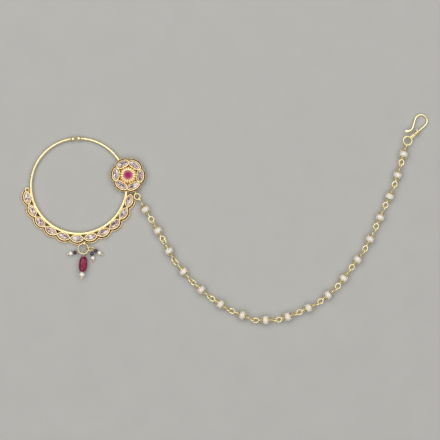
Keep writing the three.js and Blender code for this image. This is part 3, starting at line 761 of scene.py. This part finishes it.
def petalLoop(offset, height, steps=44, shift=0.0):
    # an oval bent round the flower's centre
    spread = flower["span"] / 2 + math.degrees(offset / flower["ring"])
    width = flower["width"] / 2 + offset
    power = 2 / flower["squareness"]
    loop = []
    for i in range(steps):
        around = 2 * math.pi * (i + shift) / steps
        along = math.copysign(abs(math.sin(around)) ** power, math.sin(around))
        across = math.copysign(abs(math.cos(around)) ** power, math.cos(around))
        loop.append(polar(flower["ring"] + width * across, spread * along, height))
    return loop


def flowerLoop(offset, height, steps=240):
    loop = []
    for i in range(steps):
        angle = flower["turn"] + 360 * (i + 0.5) / steps
        fromPetal = (angle - flower["turn"] + petalPitch / 2) % petalPitch - petalPitch / 2
        share = abs(fromPetal) / (flower["span"] / 2)
        bulge = (1 - share ** flower["squareness"]) ** (1 / flower["squareness"])
        loop.append(polar(flower["ring"] + flower["width"] / 2 * bulge + offset, angle, height))
    return loop


def petalTurn(index):
    return Matrix.Rotation(math.radians(flower["turn"] + petalPitch * index), 4, "Z")


def makeTier():
    near, half = flower["ring"] - flower["width"] / 2 + 0.1, flower["chevronWidth"] / 2
    chevron = [Vector((near, -half, 0)), Vector((near + flower["chevronDepth"], 0, 0)), Vector((near, half, 0))]
    openings = [[petalTurn(i + 0.5) @ p for p in chevron] for i in range(flower["petals"])]
    plate = plateShape([flowerLoop(flower["tierStep"], 0)] + openings, flower["back"], flowerTop)
    out, inside = flower["tierStep"], flower["tierStep"] - flower["lipWidth"]
    foot, top = flowerTop - 0.1, flowerTop + flower["lipHeight"]
    lip = [(out, foot), (out, top - 0.1), (out - 0.1, top), (inside + 0.06, top), (inside, top - 0.1),
           (inside, foot)]
    rim = loftShape([flowerLoop(offset, height) for offset, height in lip], False, True)
    return moveShape(joinShapes([plate, rim]), toFlower)


def makeFlowerGround():
    offsets = flower["tierStep"] - flower["lipWidth"] + 0.02, -flower["wall"]
    return moveShape(loftShape([flowerLoop(offset, flowerTop + lacquer) for offset in offsets]), toFlower)


def makePetalBezels():
    foot, top = flowerTop - 0.1, flowerTop + flower["height"]
    section = [(0.02, foot), (-0.01, top - 0.4), (-0.05, top - 0.12), (-0.13, top), (-0.28, top),
               (-0.42, top - 0.06), (-0.5, top - 0.2), (-0.44, top - 0.4), (-0.42, foot)]
    wall = loftShape([petalLoop(offset, height) for offset, height in section], False, True)
    return joinShapes([moveShape(wall, toFlower @ petalTurn(i)) for i in range(flower["petals"])])


collet = {
    "ruby": 1.95, "rubyGap": 0.04, "cupHeight": 2.2, "cupWall": 0.2, "cupFoot": 0.25,
    "ribs": 18, "turn": 5.0, "out": 3.95, "in": 2.3, "headIn": 0.08, "kneeShare": 0.4,
    "heights": (0.7, 1.35, 1.5), "wide": (0.52, 0.3), "thick": 0.22, "rounded": 0.2,
}
headRing = collet["in"] - collet["headIn"]
kneeRing = mix(collet["out"], collet["in"], collet["kneeShare"])


def makeCup():
    low, high = flowerTop - 0.1, flowerTop + collet["cupHeight"]
    inner = collet["ruby"] + collet["rubyGap"]
    outer = inner + collet["cupWall"]
    section = [(low, outer + collet["cupFoot"]), (high - 0.7, outer), (high - 0.1, outer),
               (high, outer - 0.07), (high, inner + 0.06), (high - 0.1, inner - 0.03),
               (high - 0.3, inner), (low, inner)]
    return latheShape(section, Vector(), upward, 72, bored=True)


def makeCollet():
    # a cup for the ruby, held by ribs that run down to the petals like rays
    shapes = [makeCup()]
    steps = 16
    for i in range(collet["ribs"]):
        angle = 360 * i / collet["ribs"] + collet["turn"]
        rings = (collet["out"], kneeRing, headRing)
        foot, knee, head = (polar(ring, angle, flowerTop + up) for ring, up in zip(rings, collet["heights"]))
        path, radii = [], []
        for k in range(steps + 1):
            t = (k / steps) ** 1.6  # shorter steps where the foot is rounded
            path.append(foot * (1 - t) ** 2 + knee * 2 * t * (1 - t) + head * t * t)
            rounding = math.sqrt(max(0.02, 1 - (1 - min(t / collet["rounded"], 1)) ** 2))
            radii.append((mix(*collet["wide"], t) * rounding, collet["thick"] * rounding))
        shapes.append(wireShape(path, radii))
    return moveShape(joinShapes(shapes), toFlower)


def makeColletGround():
    # the cone that shows between the ribs
    rows = [(collet["out"] + 0.15, 0.03), (collet["out"] - 0.2, 0.6), (kneeRing, 1.1), (headRing, 1.35)]
    rings = [[polar(radius, 5 * k, flowerTop + height) for k in range(72)] for radius, height in rows]
    return moveShape(loftShape(rings), toFlower)


chainEye = {"radius": 1.0, "wire": 0.28, "angle": -67.0, "height": 2.0, "lap": 0.35}


def makeChainEye():
    edge = flower["ring"] + flower["width"] / 2 + flower["tierStep"]
    reach = edge + chainEye["radius"] + chainEye["wire"] - chainEye["lap"]
    centre = polar(reach, chainEye["angle"], chainEye["height"])
    side = polar(1, chainEye["angle"] + 90)
    return moveShape(ringShape(centre, side, chainEye["radius"], chainEye["wire"], sides=14), toFlower)


dressHoop("flowerTier", makeTier(), bezelGold, 30, 0.05)
dressHoop("flowerGround", makeFlowerGround(), groove, 38)
dressHoop("petalBezels", makePetalBezels(), bezelGold, 45)
dressHoop("rubyCollet", makeCollet(), satinGold, 50)
dressHoop("colletGround", makeColletGround(), satinGold, 60)
dressHoop("chainEye", makeChainEye(), goldWire, 60)

petalStone = {
    "gap": 0.05, "seat": 0.15, "girdle": 0.55, "band": 0.25, "crown": 1.4,
    "crownIn": 0.32, "tableIn": 0.66, "steps": 14,
}
for i in range(flower["petals"]):
    stone = makeFoilStone(petalLoop, flower["wall"], flowerTop, petalStone)
    setFoilStone(f"petalStone_{i + 1}", f"petal_stone_{i + 1}",
                 moveShape(stone, toFlower @ petalTurn(i)), petalStone["steps"], 40 + i)


# share of the radius, height and half step turned, from the foot to the table
rubyCut = [(0.62, 0.0, 0.0), (1.0, 0.65, 0.5), (1.0, 0.85, 0.0), (0.88, 1.2, 0.5), (0.66, 1.62, 0.0)]
rubySides = 12


def makeFlowerRuby():
    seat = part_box("flower_ruby")[0][2] / mm
    step = 360 / rubySides
    rings = [[polar(collet["ruby"] * share, step * (k + shift), seat + height) for k in range(rubySides)]
             for share, height, shift in rubyCut]
    return moveShape(cutShape(rings), toFlower)


flowerRuby = makeFlowerRuby()
# the crown facets take the paler copy of the ruby and the table the darker one: painted light and shade on one
# stone
rubyTones = [0] * (len(flowerRuby[1]) - rubySides) + [1] * rubySides
makePiece("flowerRuby", flowerRuby, [rubyCrownPaintedLight, rubyTablePaintedShade], ["flower_ruby"], 8, 0.0, rubyTones)
print("nath: flower set")


# Rings and chain

jumpRings = {
    "chain_ring": {"radius": 1.35, "wire": 0.3, "piece": "chainRing"},
    "hook_ring": {"radius": 1.93, "wire": 0.33, "piece": "hookRing"},
    "drop_ring": {"radius": 2.3, "wire": 0.26, "piece": "dropRing"},
    "side_drop_ring": {"radius": 1.15, "wire": 0.22, "piece": "sideDropRing"},
}
jumpSeam = 6.0  # degrees that a bent ring stays open

for node, ring in jumpRings.items():
    axes = mainAxes(nodePoints(node))[1]
    shape = ringShape(middleOf(node), axes[2], ring["radius"], ring["wire"], axes[1], jumpSeam)
    makePiece(ring["piece"], shape, goldWire, [node], 50)

link = {
    "count": 18, "bead": 2.0, "beadLength": 3.7, "loop": {"radius": 1.13, "wire": 0.31},
    "capProngs": 5, "capReach": (1.15, 1.88), "capThick": 0.14, "prongTip": 0.25,
    "neckAt": 2.5, "pin": 0.3, "loopSeam": 14.0, "loopPull": 0.3,
    "facetSides": 11, "facetRows": 6,
}
capProfile = [(1.1, 1.68), (1.3, 1.65), (1.5, 1.56), (1.75, 1.34), (1.95, 1.06), (2.15, 0.74),
              (2.3, 0.56), (2.5, 0.48)]


def capRadius(along):
    return float(np.interp(along, [a for a, r in capProfile], [r for a, r in capProfile]))


def makeCap(centre, outward, turnOffset):
    # a bell with prongs that grip the bead
    across = outward.orthogonal().normalized()
    other = outward.cross(across)
    sides, rows = 60, 9
    rings = []
    for layer in (0, 1):
        for r in range(rows):
            t = r / (rows - 1) if layer == 0 else 1 - r / (rows - 1)
            ring = []
            for k in range(sides):
                turn = 2 * math.pi * k / sides
                prong = (0.5 + 0.5 * math.cos(link["capProngs"] * turn + turnOffset)) ** 0.45
                rim = mix(link["capReach"][1], link["capReach"][0], prong)
                along = mix(link["neckAt"], rim, t)
                radius = capRadius(along) + (link["capThick"] if layer == 0 else 0.0) + 0.02
                ring.append(centre + outward * along + spoke(across, other, turn) * radius)
            rings.append(ring)
    shapes = [loftShape(rings, False, True)]
    for k in range(link["capProngs"]):
        turn = (2 * math.pi * k - turnOffset) / link["capProngs"]
        tipAt = link["capReach"][0]
        tipRadius = capRadius(tipAt) + link["capThick"] / 2
        tip = centre + outward * tipAt + spoke(across, other, turn) * tipRadius
        shapes.append(latheShape(ballProfile(link["prongTip"], link["prongTip"], 8), tip, outward, 12))
    return joinShapes(shapes)


def makeLinkMetal(centre, axis, points, index):
    shapes = []
    for sign in (-1, 1):
        outward = axis * sign
        eye, normal = endEye(points, centre, outward, link["loop"])
        neck = (eye - centre).dot(outward) - link["loop"]["radius"]
        shapes.append(makeCap(centre, outward, index * 1.3 + sign))
        collar = [(link["neckAt"] - 0.1, 0.44), (link["neckAt"] + 0.02, 0.5), (link["neckAt"] + 0.14, 0.46),
                  (link["neckAt"] + 0.2, link["pin"]), (neck + 0.1, link["pin"])]
        shapes.append(latheShape(collar, centre, outward, 16))
        shapes.append(ringShape(eye, normal, link["loop"]["radius"], link["loop"]["wire"],
                                -outward, link["loopSeam"], link["loopPull"]))
    return joinShapes(shapes)


def makeCrystal(centre, axis, rng):
    # a round bead with soft facets, turned on its pin by chance
    across = axis.orthogonal().normalized()
    other = axis.cross(across)
    spin = rng.uniform(0, 2 * math.pi)
    rings = []
    for r in range(link["facetRows"]):
        down = math.pi * (r + 0.62) / (link["facetRows"] + 0.24)
        ring = []
        for k in range(link["facetSides"]):
            turn = spin + 2 * math.pi * (k + r / 2) / link["facetSides"]
            out = spoke(across, other, turn) * link["bead"] * math.sin(down)
            ring.append(centre - axis * link["beadLength"] / 2 * math.cos(down) + out)
        rings.append(ring)
    return cutShape(rings)


chainRng = random.Random(11)
for i in range(link["count"]):
    node = f"bead_link_{i + 1:02d}"
    points = nodePoints(node)
    axis = mainAxes(points)[1][0]
    centre = middleOf(node)
    reaches = [(p - centre).dot(axis) for p in points]
    centre += axis * (max(reaches) + min(reaches)) / 2
    makePiece(f"crystalBead_{i + 1:02d}", makeCrystal(centre, axis, chainRng), crystal,
              [node], 8, 0.06)
    makePiece(f"beadCaps_{i + 1:02d}", makeLinkMetal(centre, axis, points, i), goldWire, [node], 50)
print("nath: chain linked")


# Hook

hook = {
    "wire": 0.42, "heading": 41.0, "eyeRadius": 1.05, "eyeLength": 4.6, "eyeRoll": 70.0, "shank": 5.6,
    "bowRadius": 2.75, "bowTurn": 212.0, "back": 4.0, "flareRadius": 2.2, "flareTurn": -62.0, "tipRun": 1.9,
    "tipWidth": 0.75, "clearance": 0.24, "wrapTurns": 3, "wrapWire": 0.28, "wrapRadius": (1.08, 0.8),
}
bowBends = [(hook["shank"], 0, 0), (0, hook["bowRadius"], hook["bowTurn"]), (hook["back"], 0, 0),
            (0, hook["flareRadius"], hook["flareTurn"]), (hook["tipRun"], 0, 0)]


def bentPath(bends, stepLength=0.18):
    # wire bent in the level plane: straight runs and turns
    points, heading = [Vector()], 0.0
    for run, radius, turned in bends:
        length = run if not turned else radius * math.radians(abs(turned))
        steps = max(2, round(length / stepLength))
        for k in range(steps):
            heading += turned / steps / 2
            points.append(points[-1] + polar(length / steps, heading))
            heading += turned / steps / 2
    return points


def smoothPath(points, rounds=5):
    for r in range(rounds):
        inner = [(a + b * 2 + c) / 4 for a, b, c in zip(points, points[1:], points[2:])]
        points = [points[0]] + inner + [points[-1]]
    return points


def hookPlace():
    ringCentre, axes = middleOf("hook_ring"), mainAxes(nodePoints("hook_ring"))[1]
    ring = jumpRings["hook_ring"]
    inset = ring["radius"] - ring["wire"] - hook["wire"] - hook["clearance"]
    lift = hook["eyeRadius"] * math.sin(math.radians(hook["eyeRoll"]))
    lean = math.asin(lift / (hook["shank"] + hook["bowRadius"]))
    origin = ringCentre + polar(inset, hook["heading"])
    origin.z = hook["eyeLength"] * math.sin(lean) + lift + hook["wire"]
    turned = Matrix.Rotation(math.radians(hook["heading"]), 4, "Z") @ Matrix.Rotation(lean, 4, "Y")
    return Matrix.Translation(origin) @ turned


def makeHook():
    neckAt = hook["eyeLength"]
    pinch = 0.45  # how far apart the eye's two strands are where the wrap starts
    path = []
    side = hook["eyeLength"] - hook["eyeRadius"]
    for k in range(25):
        t = k / 24
        y = mix(pinch, hook["eyeRadius"], min(1, math.sin(math.pi / 2 * min(t * 1.5, 1))))
        path.append(Vector((neckAt - side * t, y, 0)))
    for k in range(1, 24):
        a = math.radians(90 + 180 * k / 24)
        path.append(Vector((hook["eyeRadius"] * (1 + math.cos(a)), hook["eyeRadius"] * math.sin(a), 0)))
    for k in range(25):
        t = 1 - k / 24
        y = mix(pinch, hook["eyeRadius"], min(1, math.sin(math.pi / 2 * min(t * 1.5, 1))))
        path.append(Vector((neckAt - side * t, -y, 0)))
    roll = Matrix.Rotation(math.radians(hook["eyeRoll"]), 4, "X")
    eyeShape = moveShape(wireShape(smoothPath(path, 3), hook["wire"], upward, 16), roll)
    bow = smoothPath(bentPath(bowBends), 6)
    thickness = []
    for k in range(len(bow)):
        fromTip = (len(bow) - 1 - k) / 12
        flat = max(0.0, 1 - fromTip / 1.3)
        rounding = min(1.0, math.sqrt(max(fromTip, 0.01) / 0.35))
        wide = mix(hook["wire"], hook["tipWidth"], math.sin(math.pi / 2 * flat)) * rounding
        thickness.append((wide, mix(hook["wire"], hook["wire"] * 0.62, flat) * rounding))
    bowShape = moveShape(wireShape(bow, thickness, upward, 16), Matrix.Translation((neckAt - 0.5, 0, 0)))
    coil = []
    turns, steps = hook["wrapTurns"], 26
    length = turns * hook["wrapWire"] * 2.02
    for k in range(turns * steps + 1):
        share = k / (turns * steps)
        radius = mix(hook["wrapRadius"][0], hook["wrapRadius"][1], share ** 0.8)
        a = 2 * math.pi * k / steps
        coil.append(Vector((neckAt - length / 2 + length * share, radius * math.cos(a), radius * math.sin(a))))
    wrap = wireShape(coil, hook["wrapWire"], Vector((1, 0, 0)), 10)
    core = latheShape([(neckAt - length / 2, 0.3), (neckAt - length / 2, 0.9), (neckAt + length / 2, 0.55),
                       (neckAt + length / 2 + 0.3, 0.3)], Vector(), Vector((1, 0, 0)), 20)
    return moveShape(joinShapes([eyeShape, bowShape, wrap, core]), hookPlace())


makePiece("chainHook", makeHook(), goldWire, ["hook"], 50)
print("nath: hook bent")


# Drops

drops = {
    "left": {"garnet": 0.9, "pearl": 0.95}, "right": {"garnet": 0.9, "pearl": 0.95},
    "lower": {"garnet": 0.9, "pearl": 0.95},
}
smallEye = {"radius": 0.8, "wire": 0.17}
rubyEye = {"radius": 0.86, "wire": 0.24}
rubyDrop = {"radius": 1.95, "length": 6.9, "squareness": 1.7, "bore": 0.36, "ridges": 10, "pearl": 1.15}
endBall = 0.48


def makePin(points, outward, centre, eyeSize):
    # an eye, a shaft and a ball; outward points from the ball to the eye
    eye, normal = endEye(points, centre, outward, eyeSize)
    tip = min((p - centre).dot(outward) for p in points)
    foot = centre + outward * tip
    down = -outward
    length = (foot - eye).length
    ballAt = length - endBall
    wire = eyeSize["wire"]
    shaft = [(eyeSize["radius"], wire), (ballAt - endBall * 0.98, wire)]
    ball = [(ballAt + along, radius) for along, radius in ballProfile(endBall, endBall, 16, wire)]
    profile = shaft + ball[1:] + [(length - 0.005, 0.02)]
    shapes = [latheShape(profile, eye, down, 20),
              ringShape(eye, normal, eyeSize["radius"], wire, down, 10.0)]
    return joinShapes(shapes)


def pinAxis(beadNode, pearlNode):
    down = (middleOf(pearlNode) - middleOf(beadNode)).normalized()
    return middleOf(beadNode), -down


for side, sizes in drops.items():
    pinNode, garnetNode, pearlNode = (f"{side}_drop_{k}" for k in ("pin", "garnet", "pearl"))
    centre, outward = pinAxis(garnetNode, pearlNode)
    bore = smallEye["wire"] + 0.05
    pin = makePin(nodePoints(pinNode), outward, centre, smallEye)
    makePiece(f"{side}DropPin", pin, goldWire, [pinNode], 60)
    bead = latheShape(ballProfile(sizes["garnet"], sizes["garnet"], 8, bore), centre, outward, 12, bored=True)
    makePiece(f"{side}DropGarnet", bead, garnet, [garnetNode], 12)
    ball = latheShape(ballProfile(sizes["pearl"], sizes["pearl"] * 0.97, 18, bore),
                      middleOf(pearlNode), outward, 28, bored=True)
    makePiece(f"{side}DropPearl", ball, pearl, [pearlNode], 60)


def makeRubyBead(centre, outward):
    # a long bead with worn ridges down its sides
    def swell(turn, along):
        fade = 1 - (abs(along) / (rubyDrop["length"] / 2)) ** 4
        ridge = abs(math.cos(rubyDrop["ridges"] * turn / 2)) ** 0.8
        return 1 - fade * 0.075 * (1 - ridge) + 0.012 * math.sin(3 * turn + along)

    profile = ballProfile(rubyDrop["radius"], rubyDrop["length"] / 2, 30, rubyDrop["bore"], rubyDrop["squareness"])
    return latheShape(profile, centre, outward, 120, swell, True)


rubyCentre, rubyOutward = pinAxis("ruby_drop_bead", "ruby_drop_pearl")
makePiece("rubyDropPin", makePin(nodePoints("ruby_drop_pin"), rubyOutward, rubyCentre, rubyEye),
          goldWire, ["ruby_drop_pin"], 60)
makePiece("rubyDropBead", makeRubyBead(rubyCentre, rubyOutward), ruby, ["ruby_drop_bead"], 70)
rubyPearl = latheShape(ballProfile(rubyDrop["pearl"], rubyDrop["pearl"] * 0.95, 20, rubyDrop["bore"]),
                       middleOf("ruby_drop_pearl"), rubyOutward, 32, bored=True)
makePiece("rubyDropPearl", rubyPearl, pearl, ["ruby_drop_pearl"], 60)
print("nath: drops hung")


# Floor, light and camera

studio = {
    "floor": (0.42, 0.42, 0.41), "floorSize": 3.0, "worldLight": 0.15,
    "picturePixels": 440, "pixel": 0.45, "cameraHeight": 0.9, "sensor": 36.0,
    "viewCentre": (63.63, -15.35, 2.0),
}


def makeFloor():
    half = studio["floorSize"] / 2
    mesh = bpy.data.meshes.new("floor")
    mesh.from_pydata([(-half, -half, 0), (half, -half, 0), (half, half, 0), (-half, half, 0)], [], [(0, 1, 2, 3)])
    finish, shader = startFinish("paleFloor", {"Specular IOR Level": 0.2})
    lighter = tuple(c * 1.03 for c in studio["floor"])
    colour = cloudOf(finish, 14.0, studio["floor"], lighter)
    joinNodes(finish, colour, shader.inputs["Base Color"])
    shader.inputs["Roughness"].default_value = 0.8
    mesh.materials.append(finish)
    floor = bpy.data.objects.new("floor", mesh)
    bpy.context.scene.collection.objects.link(floor)
    floor.location.z = -0.00002
    floor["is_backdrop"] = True


panels = {
    "inner": 0.2, "outer": 1.25, "height": 1.05,
    "powers": {"keyLight": 10.2, "sideLight": 6.9, "fillLight": 5.5, "frontLight": 7.4},
    "warm": (1.0, 0.98, 0.95),
}


def makePanels():
    # four soft panels round the lens: flat stones keep their depth and wires catch light all the way
    inner, outer = panels["inner"], panels["outer"]
    centre = (outer - inner) / 2, (outer + inner) / 2
    for k, (name, power) in enumerate(panels["powers"].items()):
        lamp = bpy.data.lights.new(name, "AREA")
        lamp.shape = "RECTANGLE"
        lamp.size, lamp.size_y = outer + inner, outer - inner
        lamp.energy = power
        lamp.color = panels["warm"]
        light = bpy.data.objects.new(name, lamp)
        bpy.context.scene.collection.objects.link(light)
        light.matrix_world = (Matrix.Rotation(math.radians(90 * k), 4, "Z")
                              @ Matrix.Translation((-centre[0], centre[1], panels["height"])))


def makeCamera():
    centre = (hoopCentre + Vector(studio["viewCentre"])) * mm
    lens = bpy.data.cameras.new("camera")
    camera = bpy.data.objects.new("camera", lens)
    bpy.context.scene.collection.objects.link(camera)
    width = studio["picturePixels"] * studio["pixel"] * mm
    lens.sensor_width = studio["sensor"]
    lens.lens = studio["sensor"] * studio["cameraHeight"] / width
    lens.clip_start, lens.clip_end = 0.05, 10
    camera.location = centre + Vector((0, 0, studio["cameraHeight"]))
    bpy.context.scene.camera = camera


makeFloor()
makePanels()
world = bpy.data.worlds.new("studio")
world.use_nodes = True
world.node_tree.nodes["Background"].inputs["Color"].default_value = (1, 1, 1, 1)
world.node_tree.nodes["Background"].inputs["Strength"].default_value = studio["worldLight"]
bpy.context.scene.world = world
bpy.context.scene.view_settings.view_transform = "Standard"
makeCamera()
print("nath: studio lit")

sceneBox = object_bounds()
sizes = {"cad": [list(corner) for corner in cadBox], "scene": [list(corner) for corner in sceneBox]}
